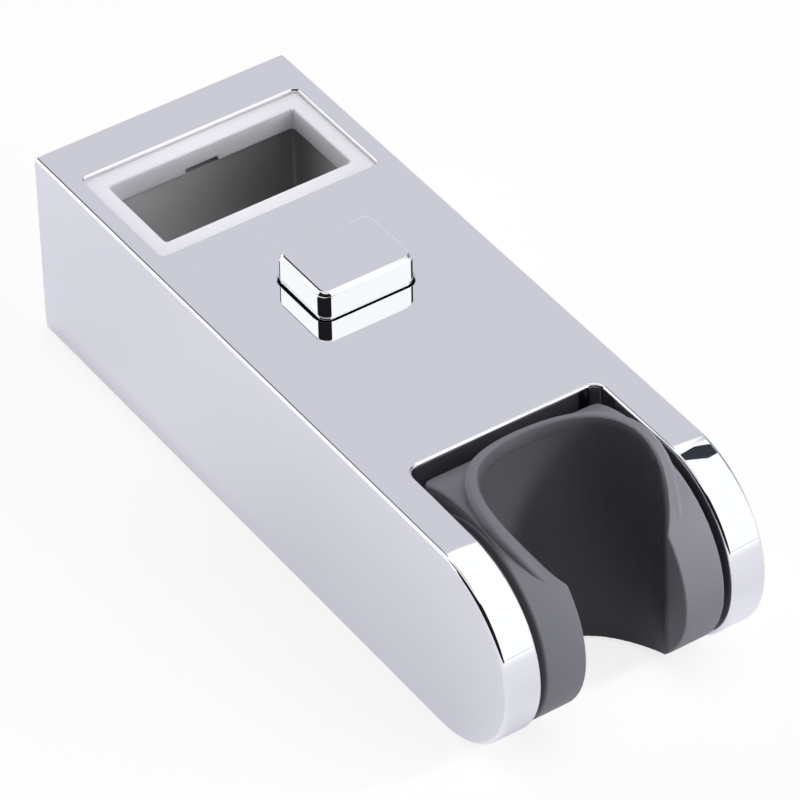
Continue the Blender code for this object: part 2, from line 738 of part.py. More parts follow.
def build_release_button(material, parent):
    rings = []
    levels = [(CAP_FOOT, 0.0), (CAP_TOP - BUTTON_TOP_ROUND, 0.0)]
    for step in range(1, CORNER_STEPS):
        turn = math.pi / 2 * step / (CORNER_STEPS - 1)
        drop = BUTTON_TOP_ROUND * (1 - math.sin(turn))
        levels.append((CAP_TOP - drop, BUTTON_TOP_ROUND * (1 - math.cos(turn))))
    for level, shrink in levels:
        outline = button_outline(-shrink, BUTTON_CORNER - shrink)
        rings.append([(x, y, level) for x, y in outline])
    cap = loft(rings)
    hollow = button_outline(-BUTTON_WALL, BUTTON_INNER_CORNER)
    roof = CAP_TOP - BUTTON_WALL
    cut(cap, prism(hollow, CAP_FOOT - OVERCUT, roof))
    boss = rod(BUTTON_BOSS_RADIUS, CAP_FOOT, CAP_TOP - BUTTON_WALL / 2, (0, -BUTTON_REACH, 0))
    add(cap, boss)
    pilot = rod(SCREW_HOLE_RADIUS, CAP_FOOT - OVERCUT, roof - SEAT_GAP, (0, -BUTTON_REACH, 0))
    cut(cap, pilot)
    return finished(cap, "release_button", material, parent)


def build_button_plunger(material, parent):
    grow = BUTTON_GAP + PLATE_OVERHANG
    plunger = prism(button_outline(grow, BUTTON_CORNER), PLATE_UNDER, PLATE_TOP)
    half_x = STEM_WIDTH / 2
    half_y = STEM_DEPTH / 2
    centre = -BUTTON_REACH
    stem = rounded(rectangle(-half_x, half_x, centre - half_y, centre + half_y), BUTTON_CORNER)
    add(plunger, prism(stem, STEM_FOOT, PLATE_TOP - PLATE_THICKNESS / 2))
    hollow_x = half_x - STEM_WALL
    hollow_y = half_y - STEM_WALL
    hollow = rectangle(-hollow_x, hollow_x, centre - hollow_y, centre + hollow_y)
    cam = slot_outline(
        (centre, MID_HEIGHT), (centre - BRAKE_TRAVEL, MID_HEIGHT + BUTTON_TRAVEL), CAM_PIN_RADIUS + CAM_SLOT_GAP
    )
    cut(
        plunger,
        prism(rounded(hollow, BUTTON_INNER_CORNER), STEM_FOOT - OVERCUT, PLATE_UNDER),
        prism(cam, -STEM_WIDTH, STEM_WIDTH, "X"),
        rod(SCREW_HOLE_RADIUS, PLATE_UNDER - OVERCUT, PLATE_TOP + OVERCUT, (0, centre, 0)),
    )
    return finished(plunger, "button_plunger", material, parent)


# Brake

def build_brake_block(material, parent):
    plan = [
        (-ARM_OUTER_X, -SHOULDER_FACE), (-ARM_OUTER_X, -ARM_END), (-ARM_INNER_X, -ARM_END),
        (-ARM_INNER_X, -SHOULDER_BACK), (ARM_INNER_X, -SHOULDER_BACK), (ARM_INNER_X, -ARM_END),
        (ARM_OUTER_X, -ARM_END), (ARM_OUTER_X, -SHOULDER_FACE),
    ]
    half = ARM_HEIGHT / 2
    fork = prism(rounded(plan, SMALL_CORNER), MID_HEIGHT - half, MID_HEIGHT + half)
    low = MID_HEIGHT - SHOULDER_Z
    high = MID_HEIGHT + SHOULDER_Z
    flank = ARM_OUTER_X - SEAT_GAP
    shoulder = rounded(rectangle(-flank, flank, low, high), SHOULDER_RISE)
    nose = rounded(rectangle(-NOSE_X, NOSE_X, MID_HEIGHT - NOSE_Z, MID_HEIGHT + NOSE_Z), PAD_SOCKET_WALL)
    add(
        fork,
        prism(shoulder, -SHOULDER_BACK + SEAT_GAP, -SHOULDER_FACE - SEAT_GAP / 2, "Y"),
        prism(nose, -SHOULDER_FACE - SHOULDER_DEPTH / 2, -NOSE_FACE, "Y"),
    )
    seat_x = PAD_WIDTH / 2 + SEAT_GAP
    seat_z = PAD_HEIGHT / 2 + SEAT_GAP
    tools = [block(-seat_x, seat_x, -NOSE_FLOOR, 0.0, MID_HEIGHT - seat_z, MID_HEIGHT + seat_z)]
    for side in (-1, 1):
        low_x, high_x = sorted((side * (ARM_INNER_X - OVERCUT), side * (ARM_OUTER_X + OVERCUT)))
        tools.append(rod(CAM_PIN_RADIUS + SEAT_GAP / 2, low_x, high_x, (0, -BUTTON_REACH, MID_HEIGHT), "X"))
        pocket_end = -ARM_END + SPRING_POCKET_DEPTH
        place = (side * ARM_MID_X, 0, MID_HEIGHT)
        tools.append(rod(SPRING_POCKET_RADIUS, -ARM_END - OVERCUT, pocket_end, place, "Y"))
    cut(fork, *tools)
    return finished(fork, "brake_block", material, parent)


def build_brake_pad(material, parent):
    half_x = PAD_WIDTH / 2
    half_z = PAD_HEIGHT / 2
    outline = rounded(rectangle(-half_x, half_x, MID_HEIGHT - half_z, MID_HEIGHT + half_z), SMALL_CORNER / 2)
    pad = prism(outline, -PAD_BACK, -PAD_FACE, "Y")
    return finished(pad, "brake_pad", material, parent)


def build_cam_pin(name, side, material, parent):
    inner = STEM_WIDTH / 2 - STEM_WALL + RUN_GAP
    low, high = sorted((side * inner, side * (ARM_OUTER_X - RUN_GAP)))
    pin = rod(CAM_PIN_RADIUS, low, high, (0, -BUTTON_REACH, MID_HEIGHT), "X")
    return finished(pin, name, material, parent)


def build_button_spring(material):
    low = FLOOR_TOP + SEAT_GAP
    length = PLATE_UNDER - SEAT_GAP - low
    curve = coil(BUTTON_SPRING_RADIUS, BUTTON_SPRING_WIRE, BUTTON_SPRING_TURNS, length)
    spring = bpy.data.objects.new("button_spring", curve)
    spring.location = (0, -BUTTON_REACH, low)
    bpy.context.scene.collection.objects.link(spring)
    return finished(spring, "button_spring", material)


def build_brake_spring(name, side, material):
    low = -CHANNEL_END + SEAT_GAP
    length = -ARM_END + SPRING_POCKET_DEPTH - SEAT_GAP - low
    curve = coil(BRAKE_SPRING_RADIUS, BRAKE_SPRING_WIRE, BRAKE_SPRING_TURNS, length)
    spring = bpy.data.objects.new(name, curve)
    spring.location = (side * ARM_MID_X, low, MID_HEIGHT)
    spring.rotation_euler = (-math.pi / 2, 0, 0)
    bpy.context.scene.collection.objects.link(spring)
    return finished(spring, name, material)


# Cradle: a drum between two trunnions, a tilted conical socket with a raised round rim, and a slot for the hose

def socket_point(turn, height, grow):
    """A point of the socket's cone, its radius grown, at this height along the socket's axis."""
    radius = BORE_RADIUS + BORE_TAPER * height + grow
    x = radius * math.cos(turn)
    reach = radius * math.sin(turn)
    y = -BORE_OFFSET + height * math.sin(BORE_TILT) + reach * math.cos(BORE_TILT)
    z = height * math.cos(BORE_TILT) - reach * math.sin(BORE_TILT)
    return Vector((x, y - PIVOT_REACH, z + MID_HEIGHT))


def height_under(turn, grow, shift, radius):
    """How high the grown cone meets a barrel surface, which lies across the cradle at this shift from its axis."""
    start = socket_point(turn, 0.0, grow)
    rise = socket_point(turn, 1.0, grow) - start
    y = start.y + PIVOT_REACH - shift
    z = start.z - MID_HEIGHT
    square = rise.y**2 + rise.z**2
    linear = y * rise.y + z * rise.z
    rest = linear**2 - square * (y**2 + z**2 - radius**2)
    return max((math.sqrt(max(rest, 0.0)) - linear) / square, RIM_ROUND * 2)


def crown_height(turn, grow):
    return height_under(turn, grow, CROWN_SHIFT, CROWN_RADIUS)


def rim_height(turn, grow):
    return max(crown_height(turn, grow), height_under(turn, grow, 0.0, DRUM_RADIUS))


def socket_turns(shift=0.0):
    return [2 * math.pi * (i + shift) / BORE_STEPS for i in range(BORE_STEPS)]


def collar_plug():
    """The collar as a full plug: its outer cone, the rim's outer rounding and a crowned top."""
    inner = RIM_ROUND / 2
    rings = [[socket_point(turn, 0.0, COLLAR_WALL) for turn in socket_turns()]]
    for step in range(CORNER_STEPS + 1):
        bend = math.pi / 2 * step / CORNER_STEPS
        grow = COLLAR_WALL - RIM_ROUND * (1 - math.cos(bend))
        drop = RIM_ROUND * (1 - math.sin(bend))
        ring = []
        for turn in socket_turns():
            height = crown_height(turn, COLLAR_WALL - RIM_ROUND) - drop
            ring.append(socket_point(turn, height, grow))
        rings.append(ring)
    rings.append([socket_point(turn, crown_height(turn, inner), inner) for turn in socket_turns()])
    low = min(point.z for point in rings[-1])
    core = [Vector((p.x / 2, (p.y - PIVOT_REACH) / 2, low)) for p in rings[-1]]
    rings.append(core)
    return loft(rings)


def socket_tool():
    """The conical hole, opening out at the top to round the rim's inner edge."""
    depth = -(DRUM_RADIUS + OVERCUT * 2)
    turns = socket_turns(0.5)
    rings = [[socket_point(turn, depth, 0.0) for turn in turns]]
    widest = 0.0
    for step in range(CORNER_STEPS + 1):
        bend = RIM_INNER_SWEEP * step / CORNER_STEPS
        widest = RIM_ROUND * (1 - math.cos(bend))
        drop = RIM_ROUND * (1 - math.sin(bend))
        ring = []
        for turn in turns:
            height = rim_height(turn, RIM_ROUND) - drop
            ring.append(socket_point(turn, height, widest))
        rings.append(ring)
    rings.append([socket_point(turn, CROWN_RADIUS + OVERCUT * 3, widest) for turn in turns])
    return loft(rings)


def slot_tool():
    half = SLOT_WIDTH / 2
    soft = SLOT_EDGE_ROUND
    side = [(half, BORE_RADIUS / 4)]
    side += arc((half + soft, DRUM_RADIUS - soft), soft, math.pi, math.pi / 2, 2)
    side.append((half + soft, DRUM_RADIUS + CROWN_RISE * 2))
    profile = [(-along, radius) for along, radius in reversed(side)] + side
    start = math.pi - SLOT_HALF_ANGLE
    return turned(profile, (0, -PIVOT_REACH, MID_HEIGHT), "X", DRUM_STEPS // 3, start, 2 * SLOT_HALF_ANGLE)


def saddle_outline(cut_back, lower):
    """The saddle's section across the cradle, shortened at the back and lowered along its top."""
    centre = (SADDLE_SHIFT - PIVOT_REACH, MID_HEIGHT - SADDLE_DROP)
    radius = SADDLE_RADIUS - lower
    soft = SADDLE_EDGE_ROUND
    inner = SADDLE_REACH - cut_back - soft - SADDLE_SHIFT
    lean = math.acos(inner / (radius - soft))
    corner = (centre[0] + inner, centre[1] + (radius - soft) * math.sin(lean))
    front = math.atan2(SADDLE_DROP, -SADDLE_SHIFT)
    outline = [(-PIVOT_REACH - SADDLE_SHIFT, MID_HEIGHT), (corner[0] + soft, MID_HEIGHT)]
    outline += arc(corner, soft, 0.0, lean, 2)
    return outline + arc(centre, radius, lean, front, ARC_STEPS // 3)[1:]


def saddle():
    """The shoulder that rises from the drum behind and beside the collar, with round corners in plan."""
    sections = []
    for step in range(CORNER_STEPS + 1):
        bend = math.pi / 2 * step / CORNER_STEPS
        across = SADDLE_X - SADDLE_CORNER * (1 - math.sin(bend))
        past = max(across - SADDLE_X + SADDLE_EDGE_ROUND, 0.0)
        lower = SADDLE_EDGE_ROUND - math.sqrt(max(SADDLE_EDGE_ROUND**2 - past**2, 0.0))
        sections.append((across, saddle_outline(SADDLE_CORNER * (1 - math.cos(bend)), lower)))
    rings = [[(-across, y, z) for y, z in outline] for across, outline in reversed(sections)]
    rings += [[(across, y, z) for y, z in outline] for across, outline in sections]
    return loft(rings)


def build_cradle(material, parent):
    soft = DRUM_EDGE_ROUND
    lead = RUN_GAP
    side = arc((CHEEK_X - soft, DRUM_RADIUS - soft), soft, math.pi / 2, 0.0, 2)
    side.append((CHEEK_X, TRUNNION_RADIUS))
    side += [(TRUNNION_END_X - lead, TRUNNION_RADIUS), (TRUNNION_END_X, TRUNNION_RADIUS - lead)]
    side += [(TRUNNION_END_X, 0.0)]
    profile = [(-along, radius) for along, radius in reversed(side)] + side
    cradle = turned(profile, (0, -PIVOT_REACH, MID_HEIGHT), "X", DRUM_STEPS)
    add(cradle, saddle(), collar_plug())
    cut(cradle, socket_tool(), slot_tool())
    return finished(cradle, "cradle", material, parent)


# Pivot pieces

def build_bush(name, side, material):
    profile = [
        (side * FORK_X, BUSH_BORE_RADIUS), (side * FORK_X, BUSH_RADIUS), (side * BUSH_END_X, BUSH_RADIUS),
        (side * BUSH_END_X, 0.0), (side * (BUSH_END_X - BUSH_FLOOR), 0.0),
        (side * (BUSH_END_X - BUSH_FLOOR), BUSH_BORE_RADIUS),
    ]
    bush = turned(profile, (0, -PIVOT_REACH, MID_HEIGHT), "X", 2 * SMALL_STEPS)
    return finished(bush, name, material)


def build_washer(name, side, material):
    """A wave washer, bent in even waves between the cheek and the ear."""
    steps = 2 * SMALL_STEPS
    inner = TRUNNION_RADIUS + RUN_GAP
    outer = inner + WASHER_RING
    middle = side * (CHEEK_X + FORK_X) / 2
    half = WASHER_THICKNESS / 2
    builder = bmesh.new()
    rows = []
    for i in range(steps):
        turn = 2 * math.pi * i / steps
        wave = WASHER_WAVE * math.sin(WASHER_WAVES * turn)
        row = []
        for radius, skin in ((inner, -half), (outer, -half), (outer, half), (inner, half)):
            y = -PIVOT_REACH + radius * math.cos(turn)
            z = MID_HEIGHT + radius * math.sin(turn)
            row.append(builder.verts.new((middle + wave + skin, y, z)))
        rows.append(row)
    for i, row in enumerate(rows):
        ahead = rows[(i + 1) % steps]
        for j in range(len(row)):
            k = (j + 1) % len(row)
            builder.faces.new((row[j], row[k], ahead[k], ahead[j]))
    return finished(new_object("tool", builder), name, material)


def build_all():
    clear_scene()
    chrome = surface("chrome_plate", (0.80, 0.81, 0.83), 0.06, 1.0)
    grey = surface("grey_plastic", (0.13, 0.13, 0.14), 0.45)
    white = surface("white_plastic", (0.80, 0.81, 0.84), 0.35)
    dark = surface("dark_plastic", (0.10, 0.10, 0.10), 0.55)
    slick = surface("acetal", (0.70, 0.69, 0.65), 0.40)
    rubber = surface("brake_rubber", (0.03, 0.03, 0.03), 0.80)
    steel = surface("spring_steel", (0.55, 0.55, 0.56), 0.30, 1.0)

    button_axis = joint_axis("button_press_axis", (0, -BUTTON_REACH, BODY_HEIGHT))
    brake_axis = joint_axis("brake_release_axis", (0, -SHOULDER_FACE, MID_HEIGHT))
    tilt_axis = joint_axis("cradle_tilt_axis", (0, -PIVOT_REACH, MID_HEIGHT))

    build_body_shell(chrome)
    build_rail_guide("upper_rail_guide", True, white)
    build_rail_guide("lower_rail_guide", False, white)
    build_inner_frame(dark)
    build_bottom_cover(chrome)
    for number, place in enumerate(cover_boss_places(), start=1):
        build_screw(f"cover_screw_{number}", place, SCREW_RECESS, steel)
    for name, side in (("left", -1), ("right", 1)):
        head_low = LUG_UNDER - SEAT_GAP - SCREW_HEAD_HEIGHT
        build_screw(f"frame_screw_{name}", (side * LUG_X, -LUG_REACH), head_low, steel)
        build_cam_pin(f"cam_pin_{name}", side, steel, brake_axis)
        build_brake_spring(f"brake_spring_{name}", side, steel)
        build_bush(f"pivot_bush_{name}", side, slick)
        build_washer(f"friction_washer_{name}", side, steel)
    build_release_button(chrome, button_axis)
    build_button_plunger(slick, button_axis)
    head_low = PLATE_UNDER - SEAT_GAP - SCREW_HEAD_HEIGHT
    build_screw("button_screw", (0, -BUTTON_REACH), head_low, steel, button_axis)
    build_button_spring(steel)
    build_brake_block(slick, brake_axis)
    build_brake_pad(rubber, brake_axis)
    build_cradle(grey, tilt_axis)


build_all()
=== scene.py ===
# Looks of the shower rail slider: chrome plate, moulded plastics, the light tent around it and the camera
import json
import math

import bmesh
import bpy
from mathutils import Matrix, Vector


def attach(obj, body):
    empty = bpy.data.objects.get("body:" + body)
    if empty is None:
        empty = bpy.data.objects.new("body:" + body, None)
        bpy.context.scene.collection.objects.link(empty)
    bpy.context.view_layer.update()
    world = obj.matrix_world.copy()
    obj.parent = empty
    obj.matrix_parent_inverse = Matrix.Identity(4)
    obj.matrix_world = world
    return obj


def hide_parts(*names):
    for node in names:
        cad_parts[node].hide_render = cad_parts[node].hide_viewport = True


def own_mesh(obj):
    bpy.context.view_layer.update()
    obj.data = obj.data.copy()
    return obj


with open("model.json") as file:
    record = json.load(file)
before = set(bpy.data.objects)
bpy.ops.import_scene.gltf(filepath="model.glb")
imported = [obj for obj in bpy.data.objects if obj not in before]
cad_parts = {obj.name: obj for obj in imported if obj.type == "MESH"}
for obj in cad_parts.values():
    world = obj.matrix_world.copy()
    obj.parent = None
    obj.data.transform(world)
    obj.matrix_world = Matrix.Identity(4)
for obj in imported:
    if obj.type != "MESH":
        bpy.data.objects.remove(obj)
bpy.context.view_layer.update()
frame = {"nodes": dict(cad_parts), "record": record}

nodes = frame["nodes"]
record = frame["record"]
behaviour = record["behaviour"]
bodyOfNode = {node: body for body, names in behaviour["bodies"].items() for node in names}
slotOfNode = {entry["node"]: entry["material_slot"] for entry in record["subparts"]}
bpy.context.scene.view_settings.view_transform = "Standard"


# Node helpers

def newTree(material):
    material.use_nodes = True
    tree = material.node_tree
    tree.nodes.clear()
    return tree


def addNode(tree, kind, place=(0, 0), **values):
    node = tree.nodes.new(kind)
    node.location = place
    for name, value in values.items():
        setattr(node, name, value)
    return node


def mathNode(tree, operation, first, second=None, place=(0, 0), clamp=False):
    node = addNode(tree, "ShaderNodeMath", place, operation=operation, use_clamp=clamp)
    for socket, value in zip(node.inputs, (first, second)):
        if value is None:
            continue
        if isinstance(value, (int, float)):
            socket.default_value = value
        else:
            tree.links.new(value, socket)
    return node.outputs[0]


def mixColour(tree, factor, first, second, place=(0, 0)):
    node = addNode(tree, "ShaderNodeMix", place, data_type="RGBA")
    for number, value in ((0, factor), (6, first), (7, second)):  # the Mix node's sockets for colours
        socket = node.inputs[number]
        if isinstance(value, (int, float)):
            socket.default_value = value
        elif isinstance(value, tuple):
            socket.default_value = (*value, 1.0)
        else:
            tree.links.new(value, socket)
    return node.outputs[2]


def smoothStep(tree, value, low, high, place=(0, 0)):
    node = addNode(tree, "ShaderNodeMapRange", place, interpolation_type="SMOOTHSTEP")
    tree.links.new(value, node.inputs["Value"])
    node.inputs["From Min"].default_value = low
    node.inputs["From Max"].default_value = high
    return node.outputs["Result"]


def addShaders(tree, first, second, place=(0, 0)):
    node = addNode(tree, "ShaderNodeAddShader", place)
    tree.links.new(first, node.inputs[0])
    tree.links.new(second, node.inputs[1])
    return node.outputs[0]


def flatSheet(name, width, height, level=0.0):
    mesh = bpy.data.meshes.new(name)
    builder = bmesh.new()
    places = [(x * width / 2, y * height / 2, level) for x, y in ((-1, -1), (1, -1), (1, 1), (-1, 1))]
    builder.faces.new([builder.verts.new(place) for place in places])
    builder.to_mesh(mesh)
    builder.free()
    item = bpy.data.objects.new(name, mesh)
    bpy.context.scene.collection.objects.link(item)
    return item


def aimAt(item, place, aim):
    item.location = place
    item.rotation_euler = (Vector(aim) - Vector(place)).to_track_quat("-Z", "Y").to_euler()


# Camera, fitted to the block's edges in the photograph

camera = {
    "place": Vector((-0.34080, -0.55897, 0.55090)),
    "right": Vector((0.82647, -0.56278, -0.01516)),
    "ahead": Vector((0.41819, 0.63171, -0.65273)),
    "lens": 254.77,
    "sensor": 36.0,
    "clipStart": 0.01,
}


def buildCamera():
    ahead = camera["ahead"].normalized()
    right = (camera["right"] - ahead * camera["right"].dot(ahead)).normalized()
    up = right.cross(ahead)
    data = bpy.data.cameras.new("studioCamera")
    data.lens = camera["lens"]
    data.sensor_width = camera["sensor"]
    data.clip_start = camera["clipStart"]
    item = bpy.data.objects.new("studioCamera", data)
    turned = Matrix((right, up, -ahead)).transposed().to_4x4()
    item.matrix_world = Matrix.Translation(camera["place"]) @ turned
    bpy.context.scene.collection.objects.link(item)
    bpy.context.scene.camera = item


buildCamera()
print("camera set")


# Studio: a white tent with grey walls and dark gaps for the chrome to mirror, a floor and lamps.
# The tent's patches are placed by angles in degrees, and each lies over the ones before it.

tent = {
    "background": (1.0, 1.0, 1.0),  # behind the floor, for the camera
    "white": (1.06, 1.07, 1.08),
    "below": (0.78, 0.775, 0.82),
    "horizon": 1.0,  # degrees from level at which "below" and "white" are pure
    "patches": {
        "ceiling": {
            "azimuth": 0.0, "elevation": 90.0, "halfWidth": 200.0, "halfHeight": 17.0, "soft": 3.0,
            "colour": (0.60, 0.60, 0.64),
        },
        "greyWall": {
            "azimuth": 50.0, "elevation": 26.0, "halfWidth": 38.0, "halfHeight": 26.0, "soft": 1.5,
            "colour": (0.632, 0.632, 0.700),
        },
        "wallFrame": {
            "azimuth": 83.0, "elevation": 50.0, "halfWidth": 16.0, "halfHeight": 13.0, "soft": 1.5,
            "colour": (0.02, 0.02, 0.025),
        },
        "cameraGap": {
            "azimuth": 222.0, "elevation": 29.0, "halfWidth": 62.0, "halfHeight": 31.0, "soft": 1.5,
            "colour": (0.012, 0.012, 0.014),
        },
        "gapCorner": {
            "azimuth": 154.0, "elevation": 49.0, "halfWidth": 10.0, "halfHeight": 12.0, "soft": 1.5,
            "colour": (0.012, 0.012, 0.014),
        },
        "sideWall": {
            "azimuth": 8.0, "elevation": 18.0, "halfWidth": 26.0, "halfHeight": 18.0, "soft": 1.5,
            "colour": (0.40, 0.40, 0.45),
        },
        "sideGap": {
            "azimuth": 10.0, "elevation": 41.0, "halfWidth": 22.0, "halfHeight": 6.5, "soft": 1.5,
            "colour": (0.025, 0.025, 0.03),
        },
        "softLamp": {
            "azimuth": 47.0, "elevation": 51.5, "halfWidth": 4.5, "halfHeight": 2.6, "soft": 1.5,
            "colour": (1.15, 1.15, 1.15),
        },
    },
}
halfTurn = 180.0


def patchMask(tree, azimuth, elevation, patch, row):
    turned = mathNode(tree, "SUBTRACT", azimuth, patch["azimuth"], (-900, row))
    wrapped = addNode(tree, "ShaderNodeMath", (-750, row), operation="WRAP")
    tree.links.new(turned, wrapped.inputs[0])
    wrapped.inputs[1].default_value = halfTurn
    wrapped.inputs[2].default_value = -halfTurn
    across = mathNode(tree, "ABSOLUTE", wrapped.outputs[0], None, (-600, row))
    raised = mathNode(tree, "SUBTRACT", elevation, patch["elevation"], (-750, row - 150))
    up = mathNode(tree, "ABSOLUTE", raised, None, (-600, row - 150))
    width, height, soft = (patch[name] for name in ("halfWidth", "halfHeight", "soft"))
    inWidth = smoothStep(tree, across, width + soft, width - soft, (-450, row))
    inHeight = smoothStep(tree, up, height + soft, height - soft, (-450, row - 150))
    return mathNode(tree, "MULTIPLY", inWidth, inHeight, (-300, row))


def buildTent():
    world = bpy.data.worlds.new("lightTent")
    bpy.context.scene.world = world
    tree = newTree(world)
    direction = addNode(tree, "ShaderNodeTexCoord", (-1500, 0))
    parts = addNode(tree, "ShaderNodeSeparateXYZ", (-1350, 0))
    tree.links.new(direction.outputs["Generated"], parts.inputs[0])
    angle = mathNode(tree, "ARCTAN2", parts.outputs["Y"], parts.outputs["X"], (-1200, 0))
    azimuth = mathNode(tree, "DEGREES", angle, None, (-1050, 0))
    slope = mathNode(tree, "ARCSINE", parts.outputs["Z"], None, (-1200, -200))
    elevation = mathNode(tree, "DEGREES", slope, None, (-1050, -200))
    aboveFloor = smoothStep(tree, elevation, -tent["horizon"], tent["horizon"], (-900, 300))
    colour = mixColour(tree, aboveFloor, tent["below"], tent["white"], (-300, 400))
    for row, patch in enumerate(tent["patches"].values()):
        mask = patchMask(tree, azimuth, elevation, patch, -400 * row)
        colour = mixColour(tree, mask, colour, patch["colour"], (-100 + 150 * row, 200))
    around = addNode(tree, "ShaderNodeBackground", (700, 200))
    tree.links.new(colour, around.inputs["Color"])
    seen = addNode(tree, "ShaderNodeBackground", (700, 0))
    seen.inputs["Color"].default_value = (*tent["background"], 1.0)
    path = addNode(tree, "ShaderNodeLightPath", (700, 500))
    choice = addNode(tree, "ShaderNodeMixShader", (900, 200))
    tree.links.new(path.outputs["Is Camera Ray"], choice.inputs[0])
    tree.links.new(around.outputs[0], choice.inputs[1])
    tree.links.new(seen.outputs[0], choice.inputs[2])
    output = addNode(tree, "ShaderNodeOutputWorld", (1100, 200))
    tree.links.new(choice.outputs[0], output.inputs["Surface"])


floor = {
    "size": 3.0,
    "drop": 0.0002,
    "albedo": (0.80, 0.80, 0.80),  # for the light that bounces off it
    "seenAlbedo": (0.28, 0.28, 0.28),  # for the camera, so that the shadow stays pale
    "glow": 0.775,
    "glowColour": (1.0, 1.0, 1.0),
    "mirrorGlow": (0.197, 0.191, 0.243),  # near the slider, as its chrome mirrors it
    "farGlow": (0.45, 0.45, 0.47),
    "fadeFrom": 0.12,
    "fadeTo": 0.70,
}


def buildFloor():
    item = flatSheet("studioFloor", floor["size"], floor["size"], -floor["drop"])
    material = bpy.data.materials.new("studioFloor")
    tree = newTree(material)
    diffuse = addNode(tree, "ShaderNodeBsdfDiffuse", (0, 200))
    glow = addNode(tree, "ShaderNodeEmission", (0, 0))
    path = addNode(tree, "ShaderNodeLightPath", (-600, 0))
    inView = path.outputs["Is Camera Ray"]
    paint = mixColour(tree, inView, floor["albedo"], floor["seenAlbedo"], (-300, 300))
    tree.links.new(paint, diffuse.inputs["Color"])
    seen = mathNode(tree, "MULTIPLY", inView, floor["glow"], (-300, 0))
    glow.inputs["Color"].default_value = (*floor["glowColour"], 1.0)
    tree.links.new(seen, glow.inputs["Strength"])
    mirrored = addNode(tree, "ShaderNodeEmission", (0, -200))
    place = addNode(tree, "ShaderNodeNewGeometry", (-900, -300))
    reach = addNode(tree, "ShaderNodeVectorMath", (-700, -300), operation="LENGTH")
    tree.links.new(place.outputs["Position"], reach.inputs[0])
    fade = smoothStep(tree, reach.outputs["Value"], floor["fadeFrom"], floor["fadeTo"], (-500, -300))
    tint = mixColour(tree, fade, floor["mirrorGlow"], floor["farGlow"], (-300, -400))
    tree.links.new(tint, mirrored.inputs["Color"])
    glossy, clear = path.outputs["Is Glossy Ray"], path.outputs["Is Transmission Ray"]
    tree.links.new(mathNode(tree, "MAXIMUM", glossy, clear, (-300, -200)), mirrored.inputs["Strength"])
    glowing = addShaders(tree, glow.outputs[0], mirrored.outputs[0], (200, 0))
    total = addShaders(tree, diffuse.outputs[0], glowing, (400, 100))
    output = addNode(tree, "ShaderNodeOutputMaterial", (600, 100))
    tree.links.new(total, output.inputs["Surface"])
    item.data.materials.append(material)


lamps = {  # power in watts, a spot's cone in degrees; reflections don't show them
    "overhead": {
        "place": (-0.10, -0.25, 0.85), "aim": (0.0, -0.04, 0.0), "size": 0.55, "power": 1.1,
    },
    "frontFill": {
        "place": (0.45, -0.75, 0.35), "aim": (0.0, -0.06, 0.02), "size": 0.40, "power": 0.5,
    },
    "armSpot": {
        "place": (0.105, -0.175, 0.095), "aim": (0.012, -0.093, 0.024), "size": 0.03, "power": 0.64,
        "cone": 20.0,
    },
    "insertSpot": {
        "place": (0.0, 0.03, 0.36), "aim": (0.0, 0.0, 0.032), "size": 0.04, "power": 1.15, "cone": 10.0,
    },
}


def buildLamps():
    for name, lamp in lamps.items():
        if "cone" in lamp:
            data = bpy.data.lights.new(name, "SPOT")
            data.spot_size = math.radians(lamp["cone"])
            data.shadow_soft_size = lamp["size"] / 2
        else:
            data = bpy.data.lights.new(name, "AREA")
            data.size = lamp["size"]
        data.energy = lamp["power"]
        item = bpy.data.objects.new(name, data)
        aimAt(item, lamp["place"], lamp["aim"])
        item.visible_glossy = False
        item.visible_camera = False
        bpy.context.scene.collection.objects.link(item)


darkCard = {  # hangs above and to the right, where only reflections show it
    "place": (0.1344, -0.0351, 0.2473),
    "aim": (0.019, -0.092, 0.032),
    "width": 0.066,
    "height": 0.034,
    "colour": (0.035, 0.042, 0.052),
}


def buildDarkCard():
    item = flatSheet("darkCard", darkCard["width"], darkCard["height"])
    aimAt(item, darkCard["place"], darkCard["aim"])
    item.visible_camera = False
    item.visible_diffuse = False
    item.visible_shadow = False
    material = bpy.data.materials.new("darkCard")
    tree = newTree(material)
    shine = addNode(tree, "ShaderNodeEmission", (0, 0))
    shine.inputs["Color"].default_value = (*darkCard["colour"], 1.0)
    output = addNode(tree, "ShaderNodeOutputMaterial", (200, 0))
    tree.links.new(shine.outputs[0], output.inputs["Surface"])
    item.data.materials.append(material)


buildTent()
buildFloor()
buildLamps()
buildDarkCard()
print("studio built")


# Shader groups that several finishes share

def startGroup(name, inputs, outputs):
    group = bpy.data.node_groups.new(name, "ShaderNodeTree")
    for label, default in inputs:
        socket = group.interface.new_socket(label, in_out="INPUT", socket_type="NodeSocketFloat")
        socket.default_value = default
    for label in outputs:
        group.interface.new_socket(label, in_out="OUTPUT", socket_type="NodeSocketFloat")
    return group, addNode(group, "NodeGroupInput", (-900, 0)), addNode(group, "NodeGroupOutput", (900, 0))


def noise(tree, vector, scale, detail, place=(0, 0), roughness=0.5):
    node = addNode(tree, "ShaderNodeTexNoise", place)
    tree.links.new(vector, node.inputs["Vector"])
    for label, value in (("Scale", scale), ("Detail", detail), ("Roughness", roughness)):
        if isinstance(value, (int, float)):
            node.inputs[label].default_value = value
        else:
            tree.links.new(value, node.inputs[label])
    return node.outputs["Fac"]


handling = {
    "smudgeScale": 60.0, "smudgeDetail": 4.0, "smudgeRoughness": 0.6, "smudgeFrom": 0.35, "smudgeTo": 0.70,
    "hairlineScale": 900.0, "hairlineDetail": 2.0, "hairlineFrom": 0.66, "hairlineTo": 0.74,
    "hairlineTurn": 0.35, "hairlineStretch": 0.03,  # the turn in radians
}


